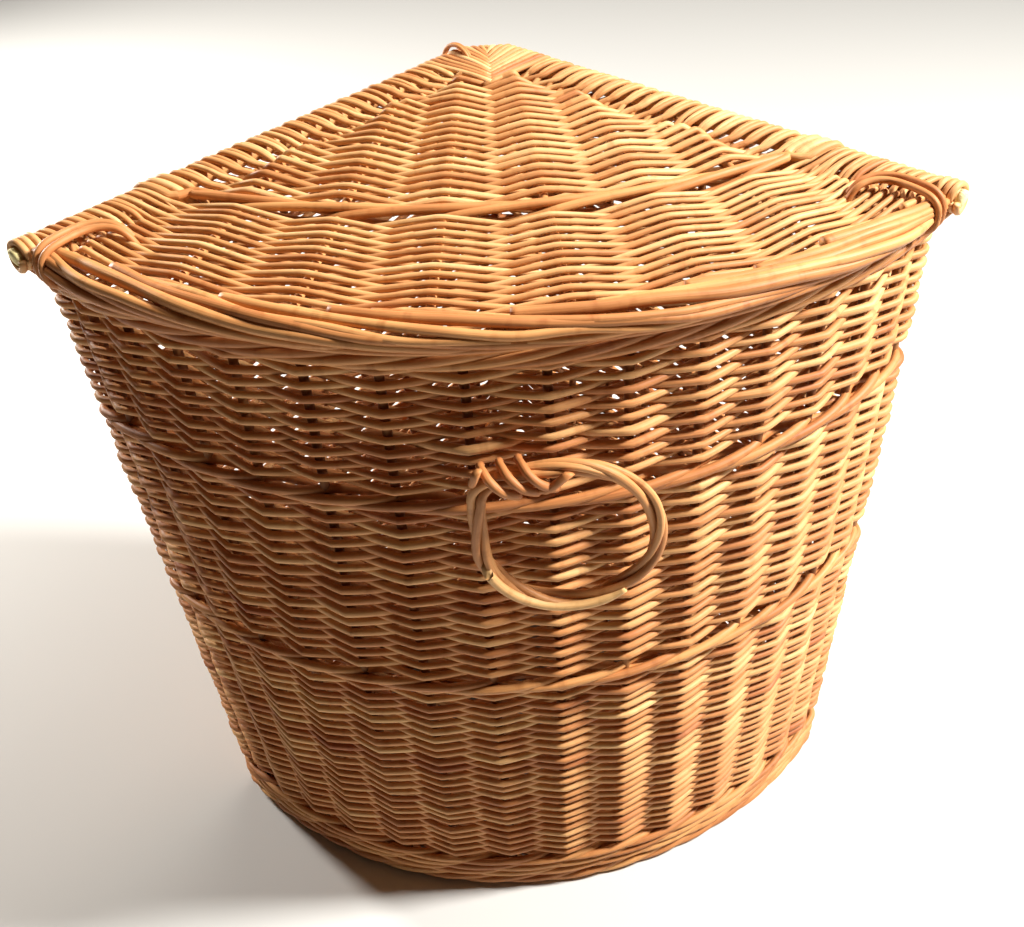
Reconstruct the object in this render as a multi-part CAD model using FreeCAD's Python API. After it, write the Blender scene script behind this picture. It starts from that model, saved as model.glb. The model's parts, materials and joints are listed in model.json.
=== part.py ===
import FreeCAD, Part
import math
import os

# Corner laundry basket of woven willow: two straight back walls that meet at a
# right angle, a bowed front, a hinged lid and one ring handle on the front.
# Millimetres. +Z up, -Y towards the bowed front, +Y towards the back corner,
# origin on the floor below the middle of the whole basket's box.

V = FreeCAD.Vector
ROOT2 = math.sqrt(2.0)

# Driving dimensions
SIDE = 450.0            # each straight edge of the lid, from the back corner to a tip
HEIGHT = 620.0          # floor to the top of the loops on the lid
LID_BULGE = 140.0       # how far the lid's bow stands out past its two tips
SIDE_ROD_R = 8.0        # thick rods along the lid's straight edges
WRAP_R = 12.0           # outside of the weavers wrapped round those rods
LOOP_R = 3.0            # rod of the two tie loops
LID_GAP = 0.4           # air between the lid and the top border
TIP_RADIUS = 10.0       # rounding of the two front tips, in plan
BACK_RADIUS = 30.0      # rounding of the back corner, in plan
SHARP = 1.5             # least rounding of an inner corner
FAR = 700.0             # clears the whole basket, for the cutting solids

WALL = 14.0             # stake plus the weavers on both sides of it
WALE_PROUD = 3.0        # thicker rods of a wale stand this far out of the weave
STAKE_R = 3.5
POST_R = 5.5
POST_INSET = POST_R + 1.0
TIP_PANEL_RETURN = 8.0  # the front panels reach this far behind the tips
TALL_PANEL = 60.0       # a taller panel follows the belly in PANEL_SPANS steps
PANEL_SPANS = 3

# Sticks of the base
STICKS_EACH_SIDE = 5
STICK_STEP = 42.0
STICK_R = 4.5
STICK_END_CLEAR = (40.0, 6.0)   # from the back corner's sides, and from the bowed wall
BASE_CLEAR = 0.2

# Levels of the body, from the floor up
FOOT_TOP = 16.0
BASE_TOP = 30.0
BOTTOM_WALE_TOP = 44.0
LOWER_WALE = (278.0, 292.0)
UPPER_WALE = (459.0, 474.0)
TOP_BORDER_FROM = 571.0
STAKE_SINK = (8.0, 6.0)         # the uprights' ends inside the foot and top borders

# Plan of the body at the floor and at the top: distance of its virtual back corner
# from the lid's, half of the tip to tip chord, and bulge of the bow
PLAN_LOW = (18.0, 274.0, 136.0)
PLAN_HIGH = (9.0, 303.0, 133.0)
BELLY = 9.0             # extra bulge of the bow half way up

FRONT_STAKES = 14
BACK_STAKES = 8         # in each straight wall
STAKE_CROWDING = 0.16   # stakes stand closer together towards the tips
LID_RIBS = 8
RIB_R = 3.0
RIB_STEP = math.radians(6.6)
RIB_FAN_BEHIND = 300.0  # the ribs fan out from this far behind the back corner
RIB_SIDE_CLEAR = 28.0   # the ribs start this far in from the straight edges

AXIS_Z = HEIGHT - 2 * LOOP_R - WRAP_R          # centre of the lid's side rods
BODY_TOP = AXIS_Z - WRAP_R - LID_GAP
HALF_CHORD = SIDE / ROOT2
ROD_FROM = 20.0         # the left rod starts here, measured from the back corner

LID_WEAVE_Z = (AXIS_Z - 6.0, AXIS_Z + 7.0)
LID_WALE_Z = (AXIS_Z - 8.0, AXIS_Z + 9.0)
LID_BORDER_Z = (BODY_TOP + LID_GAP, AXIS_Z + WRAP_R)
LID_BORDER_WIDE = 21.0
MID_WALE_REACH = 308.0  # back corner to the middle of the wale across the lid
MID_WALE_RADIUS = 465.0
MID_WALE_WIDE = 15.0
WRAP_TO = 438.0         # the wrapping stops here and leaves the rod's end bare
OVERRUN = 60.0          # cutting rods run this far past the lid's edges

TIE_AT = 42.0           # hinge tie round the left rod, from the back corner
TIE_WIDE = 6.5
TIE_R = (WRAP_R + LID_GAP, 16.0)
TIE_SLOT = 1.0          # free space round the tie in the lid's weave

LOOP_INSETS = (40.0, 47.0)
LOOP_FROM = 392.0
LOOP_OVER = 453.8
LOOP_END_Z = 581.0
LOOP_ROOT = (6.0, 8.0)  # run of the loop's climb out of the weave, before and after LOOP_FROM
LOOP_FLARE = 10.0       # the roots stand this much further in
LOOP_BENDS = (12.0, 9.0)

RING_R = 58.0           # handle ring, centre line
RING_BUNDLE_R = 7.0     # the ring's bundle of twisted strands
RING_STRAIGHT = 42.0
RING_CORNER_R = RING_R - RING_STRAIGHT         # so that the ring's left side is tangent
RING_TILT = math.radians(10.0)
PIVOT_X = 3.0
PIVOT_Z = 505.0
PIVOT_OFF = 14.0        # pivot line to the weave behind it
BIND_R = 2.8
BIND_CLEAR = 0.5
BIND_AT = (-13.0, 0.0, 13.0)


def mix(low, high, share):
    return low + (high - low) * share


def body_sizes(z):
    """Back inset, half chord and bulge of the woven body at height z."""
    share = z / BODY_TOP
    back, half, bulge = (mix(a, b, share) for a, b in zip(PLAN_LOW, PLAN_HIGH))
    return back, half, bulge + BELLY * 4 * share * (1 - share)


def bow_radius(half, bulge):
    return (half * half + bulge * bulge) / (2 * bulge)


def wall_reach(x, z):
    """Distance forward from the lid's virtual back corner to the bowed wall."""
    back, half, bulge = body_sizes(z)
    radius = bow_radius(half, bulge)
    return back + half + bulge - radius + math.sqrt(radius * radius - x * x)


# The origin is half way between the rounded back corner and the foremost piece,
# which is the handle's binding
BIND_GRIP = RING_BUNDLE_R + BIND_CLEAR + BIND_R
PIVOT_REACH = wall_reach(PIVOT_X, PIVOT_Z) + PIVOT_OFF
BACK_REACH = (ROD_FROM + WRAP_R) / ROOT2 - WRAP_R
FRONT_REACH = max(HALF_CHORD + LID_BULGE, PIVOT_REACH + BIND_GRIP + BIND_R)
CORNER_Y = (FRONT_REACH + BACK_REACH) / 2      # the lid's virtual back corner


def body_plan(z):
    """Virtual corner Y, half chord and bulge of the woven body at height z."""
    back, half, bulge = body_sizes(z)
    return CORNER_Y - back, half, bulge


def lid_plan():
    return CORNER_Y, HALF_CHORD, LID_BULGE


def bow(plan):
    """Centre Y and radius of the bow that runs from tip to tip."""
    corner, half, bulge = plan
    radius = bow_radius(half, bulge)
    return corner - half - bulge + radius, radius


def outline(plan, z, inset, side_inset=None):
    """Closed plan outline at height z, moved inwards by inset, or by side_inset at the straight sides."""
    side_inset = inset if side_inset is None else side_inset
    centre_y, radius = bow(plan)
    radius -= inset
    corner_y = plan[0] - side_inset * ROOT2
    tip = max(TIP_RADIUS - side_inset, SHARP)
    back = max(BACK_RADIUS - side_inset, SHARP)
    along = (-1 / ROOT2, -1 / ROOT2)
    inward = (1 / ROOT2, -1 / ROOT2)
    ax = tip * inward[0]
    ay = corner_y + tip * inward[1] - centre_y
    b = ax * along[0] + ay * along[1]
    c = ax * ax + ay * ay - (radius - tip) ** 2
    run = -b + math.sqrt(b * b - c)
    cx = run * along[0] + tip * inward[0]
    cy = corner_y + run * along[1] + tip * inward[1]
    side_end = (cx - tip * inward[0], cy - tip * inward[1])
    reach = math.hypot(cx, cy - centre_y)
    out = (cx / reach, (cy - centre_y) / reach)
    bow_end = (cx + tip * out[0], cy + tip * out[1])
    half_way = (out[0] - inward[0], out[1] - inward[1])
    length = math.hypot(*half_way)
    tip_mid = (cx + tip * half_way[0] / length, cy + tip * half_way[1] / length)
    back_y = corner_y - back * ROOT2
    back_end = (-back / ROOT2, back_y + back / ROOT2)

    def at(point, mirror=1):
        return V(mirror * point[0], point[1], z)

    edges = [
        Part.LineSegment(at(back_end), at(side_end)).toShape(),
        Part.Arc(at(side_end), at(tip_mid), at(bow_end)).toShape(),
        Part.Arc(at(bow_end), V(0, centre_y - radius, z), at(bow_end, -1)).toShape(),
        Part.Arc(at(bow_end, -1), at(tip_mid, -1), at(side_end, -1)).toShape(),
        Part.LineSegment(at(side_end, -1), at(back_end, -1)).toShape(),
        Part.Arc(at(back_end, -1), V(0, back_y + back, z), at(back_end)).toShape(),
    ]
    return Part.Wire(edges)


def filled(levels, inset):
    """Solid between the body's outlines at the given heights."""
    wires = [outline(body_plan(z), z, inset) for z in levels]
    return Part.makeLoft(wires, True, True)


def ring_wall(levels, outer, inner):
    return filled(levels, outer).cut(filled(levels, inner))


def split_y(z):
    """The front panels end just behind the tips."""
    corner, half, _ = body_plan(z)
    return corner - half + TIP_PANEL_RETURN


def front_region():
    corners = [
        V(-FAR, -FAR, 0), V(-FAR, split_y(0), 0),
        V(-FAR, split_y(HEIGHT), HEIGHT), V(-FAR, -FAR, HEIGHT),
    ]
    face = Part.Face(Part.makePolygon(corners + corners[:1]))
    return face.extrude(V(2 * FAR, 0, 0))


def half_region(side):
    return Part.makeBox(FAR, 2 * FAR, 2 * FAR, V(0 if side > 0 else -FAR, -FAR, -FAR))


def lid_point(run, inset, z, side=-1):
    """A point on the lid: distance along a straight edge from the back corner, and in from it."""
    return V(side * (run - inset) / ROOT2, CORNER_Y - (run + inset) / ROOT2, z)


def edge_rod(start, end, radius, side):
    first = lid_point(start, WRAP_R, AXIS_Z, side)
    last = lid_point(end, WRAP_R, AXIS_Z, side)
    return Part.makeCylinder(radius, (last - first).Length, first, last - first)


def swept(edges, radius):
    """A round rod along a chain of tangent edges."""
    path = Part.Wire(edges)
    start = path.OrderedEdges[0]
    place = start.valueAt(start.FirstParameter)
    heading = start.tangentAt(start.FirstParameter)
    section = Part.Wire(Part.makeCircle(radius, place, heading))
    return path.makePipeShell([section], True, False)


def rounded_path(points, radii):
    """Straight runs joined by tangent arcs at the inner points."""
    edges = []
    here = points[0]
    for before, point, after, radius in zip(points, points[1:], points[2:], radii):
        back = (before - point).normalize()
        ahead = (after - point).normalize()
        half_turn = back.getAngle(ahead) / 2
        trim = radius / math.tan(half_turn)
        bisector = (back + ahead).normalize()
        centre = point + bisector * (radius / math.sin(half_turn))
        first = point + back * trim
        last = point + ahead * trim
        edges.append(Part.LineSegment(here, first).toShape())
        edges.append(Part.Arc(first, centre - bisector * radius, last).toShape())
        here = last
    edges.append(Part.LineSegment(here, points[-1]).toShape())
    return edges


def wall_levels(low, high):
    """Heights at which a panel of the bellied wall is lofted."""
    count = PANEL_SPANS if high - low > TALL_PANEL else 1
    return [mix(low, high, i / count) for i in range(count + 1)]


def woven_panels(name, low, high):
    """The left, right and front weave between two bands."""
    wall = ring_wall(wall_levels(low, high), 0.0, WALL)
    sides = wall.cut(front_region())
    return {
        f"left_{name}_weave": sides.common(half_region(-1)),
        f"right_{name}_weave": sides.common(half_region(1)),
        f"front_{name}_weave": wall.common(front_region()),
    }


def stake(points, radius=STAKE_R):
    """One upright that leans and bends with the wall."""
    wires = [Part.Wire(Part.makeCircle(radius, p, V(0, 0, 1))) for p in points]
    return Part.makeLoft(wires, True, True)


def middle(band):
    return (band[0] + band[1]) / 2


# Heights at which the uprights are shaped: both ends, the wales and half way up the lower weave
STAKE_LEVELS = [
    FOOT_TOP - STAKE_SINK[0],
    middle((FOOT_TOP, middle(LOWER_WALE))),
    middle(LOWER_WALE),
    middle(UPPER_WALE),
    BODY_TOP - STAKE_SINK[1],
]


def front_stake_points(share):
    """Points of a front stake; share runs from -1 at the left tip to 1 at the right tip."""
    points = []
    for z in STAKE_LEVELS:
        plan = body_plan(z)
        centre_y, radius = bow(plan)
        turn = share * math.asin(plan[1] / radius)
        mid = radius - WALL / 2
        points.append(V(mid * math.sin(turn), centre_y - mid * math.cos(turn), z))
    return points


def back_stake_points(share, side):
    """Points of a stake in a straight wall; share runs from 0 at the back corner to 1 at the tip."""
    points = []
    for z in STAKE_LEVELS:
        corner, half, _ = body_plan(z)
        run = share * half * ROOT2
        inset = WALL / 2
        points.append(V(side * (run - inset) / ROOT2, corner - (run + inset) / ROOT2, z))
    return points


def corner_post_points(side):
    points = []
    for z in STAKE_LEVELS:
        corner, half, _ = body_plan(z)
        run = half * ROOT2 - 2 * POST_INSET
        points.append(V(side * (run - POST_INSET) / ROOT2, corner - (run + POST_INSET) / ROOT2, z))
    return points


def crowded(position):
    return position * (1 + STAKE_CROWDING * (1 - position * position))


def build_base():
    weave = filled([FOOT_TOP, BASE_TOP], WALL + BASE_CLEAR)
    mid_z = middle((FOOT_TOP, BASE_TOP))
    corner, _, _ = body_plan(mid_z)
    centre_y, radius = bow(body_plan(mid_z))
    back_clear, front_clear = STICK_END_CLEAR
    sticks = []
    for i in range(-STICKS_EACH_SIDE, STICKS_EACH_SIDE + 1):
        x = STICK_STEP * i
        back_y = corner - abs(x) - back_clear
        front_y = centre_y - math.sqrt((radius - WALL - front_clear) ** 2 - x * x)
        sticks.append(Part.makeCylinder(STICK_R, back_y - front_y, V(x, front_y, mid_z), V(0, 1, 0)))
    return {
        "foot_border": ring_wall([0.0, FOOT_TOP], -WALE_PROUD, WALL + WALE_PROUD),
        "base_weave": weave,
        "base_sticks": Part.makeCompound(sticks),
    }


def build_bands():
    def band(low, high):
        return ring_wall([low, high], -WALE_PROUD, WALL + WALE_PROUD)

    return {
        "bottom_wale": ring_wall([FOOT_TOP, BOTTOM_WALE_TOP], -WALE_PROUD, WALL),
        "lower_wale": band(*LOWER_WALE),
        "upper_wale": band(*UPPER_WALE),
        "top_border": band(TOP_BORDER_FROM, BODY_TOP),
    }


def build_uprights():
    step = 2.0 / (FRONT_STAKES + 1)
    shares = [crowded(-1 + step * (i + 1)) for i in range(FRONT_STAKES)]
    parts = {"front_stakes": Part.makeCompound([stake(front_stake_points(s)) for s in shares])}
    for name, side in (("left", -1), ("right", 1)):
        spots = [(i + 1) / (BACK_STAKES + 1) for i in range(BACK_STAKES)]
        uprights = [stake(back_stake_points(s, side)) for s in spots]
        parts[f"{name}_stakes"] = Part.makeCompound(uprights)
        parts[f"{name}_corner_post"] = stake(corner_post_points(side), POST_R)
    back = [V(0, body_plan(z)[0] - BACK_RADIUS * (ROOT2 - 1) - WALL / 2, z) for z in STAKE_LEVELS]
    parts["back_corner_post"] = stake(back, POST_R)
    return parts


def lid_disc(z_low, z_high, centre_y, radius):
    return Part.makeCylinder(radius, z_high - z_low, V(0, centre_y, z_low))


def lid_slab(z_low, z_high, bow_inset=0.0):
    """A slab of the lid between its wrapped edges, out to the given inset from the bow."""
    height = z_high - z_low
    face = Part.Face(outline(lid_plan(), z_low, bow_inset, WRAP_R))
    slab = face.extrude(V(0, 0, height))
    for side in (-1, 1):
        slab = slab.cut(edge_rod(-OVERRUN, SIDE + OVERRUN, WRAP_R, side))
    return slab


def build_lid():
    left_rod = edge_rod(ROD_FROM, SIDE, SIDE_ROD_R, -1)
    right_from = 2 * WRAP_R + LID_GAP
    right_rod = edge_rod(right_from, SIDE, SIDE_ROD_R, 1)
    dome = Part.makeSphere(WRAP_R, lid_point(ROD_FROM, WRAP_R, AXIS_Z))
    left_wrap = edge_rod(ROD_FROM, WRAP_TO, WRAP_R, -1).fuse(dome)
    left_wrap = left_wrap.removeSplitter().cut(left_rod)
    right_wrap = edge_rod(right_from, WRAP_TO, WRAP_R, 1).cut(right_rod)

    tie_room = edge_rod(TIE_AT - TIE_SLOT, TIE_AT + TIE_WIDE + TIE_SLOT, TIE_R[1] + TIE_SLOT, -1)
    centre_y, radius = bow(lid_plan())
    border_in = radius - LID_BORDER_WIDE
    wale_y = CORNER_Y - MID_WALE_REACH + MID_WALE_RADIUS
    wale_out = MID_WALE_RADIUS + MID_WALE_WIDE / 2
    wale_in = MID_WALE_RADIUS - MID_WALE_WIDE / 2
    weave = lid_slab(*LID_WEAVE_Z, LID_BORDER_WIDE)
    rear = weave.common(lid_disc(*LID_WEAVE_Z, wale_y, wale_in)).cut(tie_room)
    front = weave.cut(lid_disc(*LID_WEAVE_Z, wale_y, wale_out))
    wale = lid_slab(*LID_WALE_Z, LID_BORDER_WIDE).common(lid_disc(*LID_WALE_Z, wale_y, wale_out))
    wale = wale.cut(lid_disc(*LID_WALE_Z, wale_y, wale_in))
    border = lid_slab(*LID_BORDER_Z).cut(lid_disc(*LID_BORDER_Z, centre_y, border_in))
    return {
        "left_side_rod": left_rod,
        "right_side_rod": right_rod,
        "left_edge_wrap": left_wrap,
        "right_edge_wrap": right_wrap,
        "lid_rear_weave": rear,
        "lid_mid_wale": wale,
        "lid_front_weave": front,
        "lid_front_border": border,
        "lid_ribs": Part.makeCompound(lid_ribs()),
        "left_loop": tie_loop(-1),
        "right_loop": tie_loop(1),
    }


def lid_ribs():
    """Ribs fan from behind the back corner, from the wrapped edges to the front border."""
    centre_y, radius = bow(lid_plan())
    fan = V(0, CORNER_Y + RIB_FAN_BEHIND, AXIS_Z)
    ribs = []
    for i in range(LID_RIBS):
        turn = (i - (LID_RIBS - 1) / 2) * RIB_STEP
        heading = V(math.sin(turn), -math.cos(turn), 0)
        start = (RIB_SIDE_CLEAR * ROOT2 + RIB_FAN_BEHIND) / (math.cos(turn) - abs(math.sin(turn)))
        offset = fan.y - centre_y
        b = -offset * math.cos(turn)
        c = offset * offset - (radius - LID_BORDER_WIDE / 2) ** 2
        end = -b + math.sqrt(b * b - c)
        ribs.append(Part.makeCylinder(RIB_R, end - start, fan + heading * start, heading))
    return ribs


def tie_loop(side):
    """Two rods out of the lid's weave, along its edge, and down over the tip."""
    over_z = LID_BORDER_Z[1] + LOOP_R
    rods = []
    for inset in LOOP_INSETS:
        points = [
            lid_point(LOOP_FROM - LOOP_ROOT[0], inset + LOOP_FLARE, AXIS_Z, side),
            lid_point(LOOP_FROM + LOOP_ROOT[1], inset + LOOP_FLARE, over_z, side),
            lid_point(LOOP_OVER, inset, over_z, side),
            lid_point(LOOP_OVER, inset, LOOP_END_Z, side),
        ]
        rods.append(swept(rounded_path(points, LOOP_BENDS), LOOP_R))
    return Part.makeCompound(rods)


def build_hinge_tie():
    """A rod bound round the lid's left edge and down into the top border."""
    ring = edge_rod(TIE_AT, TIE_AT + TIE_WIDE, TIE_R[1], -1)
    return {"back_hinge_tie": ring.cut(edge_rod(0.0, SIDE, TIE_R[0], -1))}


def handle_point(run, rise, out=0.0):
    """A point of the handle: along its pivot line, up from it, and out from the wall."""
    x = PIVOT_X + run * math.cos(RING_TILT) - rise * math.sin(RING_TILT)
    z = PIVOT_Z + run * math.sin(RING_TILT) + rise * math.cos(RING_TILT)
    return V(x, CORNER_Y - PIVOT_REACH - out, z)


def build_handle():
    half = RING_STRAIGHT / 2
    low_corner = -RING_CORNER_R
    bend = RING_CORNER_R * (1 - 1 / ROOT2)
    left = -half - RING_CORNER_R
    edges = [
        Part.LineSegment(handle_point(-half, 0), handle_point(half, 0)).toShape(),
        Part.Arc(handle_point(half, 0), handle_point(half + RING_R, -RING_R),
                 handle_point(half, -2 * RING_R)).toShape(),
        Part.Arc(handle_point(half, -2 * RING_R),
                 handle_point(half - RING_R / ROOT2, -RING_R - RING_R / ROOT2),
                 handle_point(left, -RING_R)).toShape(),
        Part.LineSegment(handle_point(left, -RING_R), handle_point(left, low_corner)).toShape(),
        Part.Arc(handle_point(left, low_corner),
                 handle_point(left + bend, -bend),
                 handle_point(-half, 0)).toShape(),
    ]
    staples = []
    into_wall = PIVOT_OFF + WALL / 2
    for run in BIND_AT:
        path = [
            Part.LineSegment(handle_point(run, BIND_GRIP, -into_wall),
                             handle_point(run, BIND_GRIP)).toShape(),
            Part.Arc(handle_point(run, BIND_GRIP), handle_point(run, 0, BIND_GRIP),
                     handle_point(run, -BIND_GRIP)).toShape(),
            Part.LineSegment(handle_point(run, -BIND_GRIP),
                             handle_point(run, -BIND_GRIP, -into_wall)).toShape(),
        ]
        staples.append(swept(path, BIND_R))
    return {
        "handle_ring": swept(edges, RING_BUNDLE_R),
        "handle_binding": Part.makeCompound(staples),
    }


def main():
    parts = {}
    parts.update(build_base())
    parts.update(build_bands())
    parts.update(woven_panels("lower", BOTTOM_WALE_TOP, LOWER_WALE[0]))
    parts.update(woven_panels("middle", LOWER_WALE[1], UPPER_WALE[0]))
    parts.update(woven_panels("upper", UPPER_WALE[1], TOP_BORDER_FROM))
    parts.update(build_uprights())
    parts.update(build_lid())
    parts.update(build_hinge_tie())
    parts.update(build_handle())
    os.makedirs("parts", exist_ok=True)
    for name, shape in parts.items():
        shape.exportStep(f"parts/{name}.step")
        print(name, len(shape.Solids), "solids", round(shape.Volume / 1000, 1), "cm3", shape.isValid())
    whole = Part.makeCompound(list(parts.values())).BoundBox
    print("box", whole)


main()
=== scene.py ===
import json
import math

import bpy
import numpy as np
from mathutils import Matrix, Vector


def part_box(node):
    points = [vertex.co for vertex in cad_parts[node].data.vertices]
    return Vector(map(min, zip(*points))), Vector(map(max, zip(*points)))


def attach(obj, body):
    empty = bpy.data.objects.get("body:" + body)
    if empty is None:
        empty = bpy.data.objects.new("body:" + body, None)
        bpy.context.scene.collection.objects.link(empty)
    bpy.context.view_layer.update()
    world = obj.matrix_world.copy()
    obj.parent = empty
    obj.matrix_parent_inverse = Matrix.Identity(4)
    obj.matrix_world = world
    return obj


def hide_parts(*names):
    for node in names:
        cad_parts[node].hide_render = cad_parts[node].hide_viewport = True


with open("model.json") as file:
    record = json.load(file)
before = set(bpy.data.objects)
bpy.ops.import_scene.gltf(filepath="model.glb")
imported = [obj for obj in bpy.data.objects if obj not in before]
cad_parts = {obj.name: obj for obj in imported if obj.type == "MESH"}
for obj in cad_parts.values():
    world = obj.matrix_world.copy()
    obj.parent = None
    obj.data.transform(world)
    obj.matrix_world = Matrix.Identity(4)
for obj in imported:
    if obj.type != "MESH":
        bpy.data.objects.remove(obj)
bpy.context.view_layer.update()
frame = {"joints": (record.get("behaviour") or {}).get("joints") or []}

# Corner laundry basket of woven willow. Every rod is a tube of its own: uprights and
# ribs, the weavers that pass before one and behind the next, twisted wales and borders.
# Lengths are millimetres until Rods.make() turns them into metres; the lamps and the floor are in metres.

MM = 0.001
ROOT2 = math.sqrt(2.0)
RNG = np.random.default_rng(26)


def levels(node):
    """Lowest and highest Z of a CAD node."""
    low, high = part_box(node)
    return low.z / MM, high.z / MM


# The frame's own sizes
SIDE = 450.0
HALF_CHORD = SIDE / ROOT2
LID_BULGE = 140.0
CORNER_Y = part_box("lid_front_border")[0].y / MM + HALF_CHORD + LID_BULGE
BODY_TOP = levels("top_border")[1]
AXIS_Z = sum(levels("left_side_rod")) / 2
FOOT = levels("foot_border")
BOTTOM_WALE = (FOOT[1], levels("bottom_wale")[1])
LOWER_WALE = levels("lower_wale")
UPPER_WALE = levels("upper_wale")
TOP_BORDER = levels("top_border")
BASE_Z = sum(levels("base_weave")) / 2
PLAN_LOW = (18.0, 274.0, 136.0)     # back inset, half chord and bulge at the floor
PLAN_HIGH = (9.0, 303.0, 133.0)     # the same at the top of the body
BELLY = 9.0                         # how much more the front bulges half way up
WALL = 14.0                         # thickness of the walls
TIP_BEND = 9.0                      # radius of the plan's bend at each front tip
BACK_BEND = 24.0                    # radius of its bend at the back corner

# Rods
STAKE_R = 3.5
POST_R = 5.5
RIB_R = 3.0
RIB_LIFT = 4.0        # a weaver passes a rib a little proud of it
SIDE_ROD_R = 6.8
WALE_R = 3.3
SIDES = 8             # facets round a rod
STEPS = 8             # rings of a weaver from one upright to the next
GRAIN_LENGTH = 5000   # each rod's grain starts at a random place in this length
TONE_SPREAD = 0.15    # how much rods differ in tone, on a scale from 0, dark, to 1, pale
TINY = 1e-12          # keeps a division by a length of nothing from failing

# Uprights are numbered round the basket: the back corner post is 0, then the left wall,
# the left tip post, the front, the right tip post and the right wall.
BACK_STAKES = 8
FRONT_STAKES = 14
LEFT_TIP = BACK_STAKES + 1
RIGHT_TIP = LEFT_TIP + FRONT_STAKES + 1
ROUND = RIGHT_TIP + BACK_STAKES + 1
CROWDING = 0.16          # how much closer the front's uprights stand near the tips
POSTS = (0, LEFT_TIP, RIGHT_TIP)


# ---------------------------------------------------------------- rods as tubes

class Rods:
    """Collects tubes, with each rod's tone and grain, and becomes one mesh."""

    def __init__(self):
        self.points, self.faces, self.tones, self.grains = [], [], [], []
        self.count = 0

    def add(self, path, radius, tone, start=0.0, hint=(0.0, 0.0, 1.0), caps=(True, True), ahead=None,
            slant=0.0):
        """A tube along path. radius is one number or one per point; start is where its grain begins; hint is
        a direction that the path doesn't take; ahead gives the path's directions where they are known; slant
        is how much its last end is cut at an angle."""
        path = np.asarray(path, float)
        count = len(path)
        radius = np.broadcast_to(np.asarray(radius, float), (count,))
        if ahead is None:
            ahead = heading(path)
        hint = np.broadcast_to(np.asarray(hint, float), (count, 3))
        across = np.cross(ahead, hint)
        across /= np.linalg.norm(across, axis=1)[:, None] + TINY
        up = np.cross(across, ahead)
        turn = np.arange(SIDES) * (2 * math.pi / SIDES)
        ring = np.cos(turn)[None, :, None] * across[:, None, :] + np.sin(turn)[None, :, None] * up[:, None, :]
        verts = path[:, None, :] + ring * radius[:, None, None]
        verts[-1] += ahead[-1][None, :] * (np.sin(turn) * radius[-1] * slant)[:, None]
        verts = verts.reshape(-1, 3)
        along = start + np.concatenate([[0.0], np.cumsum(np.linalg.norm(np.diff(path, axis=0), axis=1))])
        grain = np.empty((count, SIDES, 3))
        grain[:, :, 0] = along[:, None]
        grain[:, :, 1] = np.cos(turn)[None, :] * radius[:, None]
        grain[:, :, 2] = np.sin(turn)[None, :] * radius[:, None]
        base = self.count
        here = base + np.arange(count - 1)[:, None] * SIDES + np.arange(SIDES)[None, :]
        after = base + np.arange(count - 1)[:, None] * SIDES + (np.arange(SIDES)[None, :] + 1) % SIDES
        self.faces.append(np.stack([here, after, after + SIDES, here + SIDES], axis=-1).reshape(-1, 4))
        self.points.append(verts)
        self.tones.append(np.full(len(verts), tone))
        self.grains.append(grain.reshape(-1, 3))
        self.count += len(verts)
        for at_end, wanted in zip((False, True), caps):
            if wanted:
                self._cap(path[-1] if at_end else path[0], base + (count - 1) * SIDES * at_end, at_end,
                          along[-1] if at_end else along[0])

    def _cap(self, middle, first, flip, along):
        """Closes an end with a fan of quads about a middle point, which is pale, as cut wood is."""
        centre = self.count
        self.points.append(np.array([middle]))
        self.tones.append(np.array([1.0]))
        self.grains.append(np.array([[along, 0.0, 0.0]]))
        self.count += 1
        for i in range(0, SIDES, 2):
            a, b, c = first + i, first + i + 1, first + (i + 2) % SIDES
            self.faces.append(np.array([[centre, a, b, c] if flip else [centre, c, b, a]]))

    def make(self, name, material):
        """The collected tubes as one object, in metres."""
        points = np.concatenate(self.points) * MM
        faces = np.concatenate(self.faces)
        mesh = bpy.data.meshes.new(name)
        mesh.vertices.add(len(points))
        mesh.vertices.foreach_set("co", points.astype(np.float32).ravel())
        mesh.loops.add(len(faces) * 4)
        mesh.loops.foreach_set("vertex_index", faces.astype(np.int32).ravel())
        mesh.polygons.add(len(faces))
        mesh.polygons.foreach_set("loop_start", (np.arange(len(faces)) * 4).astype(np.int32))
        mesh.update(calc_edges=True)
        mesh.polygons.foreach_set("use_smooth", np.ones(len(faces), bool))
        tone = mesh.attributes.new("tone", "FLOAT", "POINT")
        tone.data.foreach_set("value", np.concatenate(self.tones).astype(np.float32))
        grain = mesh.attributes.new("grain", "FLOAT_VECTOR", "POINT")
        grain.data.foreach_set("vector", np.concatenate(self.grains).astype(np.float32).ravel())
        mesh.materials.append(material)
        mesh.validate()
        piece = bpy.data.objects.new(name, mesh)
        bpy.context.scene.collection.objects.link(piece)
        return piece


def heading(path):
    """Unit vectors along a path."""
    ahead = np.gradient(path, axis=0)
    return ahead / (np.linalg.norm(ahead, axis=1)[:, None] + TINY)


def rounded(points, times=2):
    """Cuts the corners of a path, so that it bends smoothly."""
    points = np.asarray(points, float)
    for _ in range(times):
        first = points[:-1] * 0.75 + points[1:] * 0.25
        second = points[:-1] * 0.25 + points[1:] * 0.75
        inner = np.stack([first, second], axis=1).reshape(-1, 3)
        points = np.concatenate([points[:1], inner[1:-1], points[-1:]])
    return points


def wobble(values, step, size):
    """Smooth noise along values: a fresh random height every step, joined by cosines."""
    low = values.min() / step
    knots = RNG.normal(0.0, size, int(math.ceil(values.max() / step - low)) + 3)
    at = values / step - low
    index = at.astype(int)
    share = 0.5 - 0.5 * np.cos((at - index) * math.pi)
    return knots[index] * (1 - share) + knots[index + 1] * share


def new_tone():
    """A rod's tone, from 0, dark, to 1, pale."""
    return float(np.clip(RNG.normal(0.5, TONE_SPREAD), 0.0, 1.0))


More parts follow.
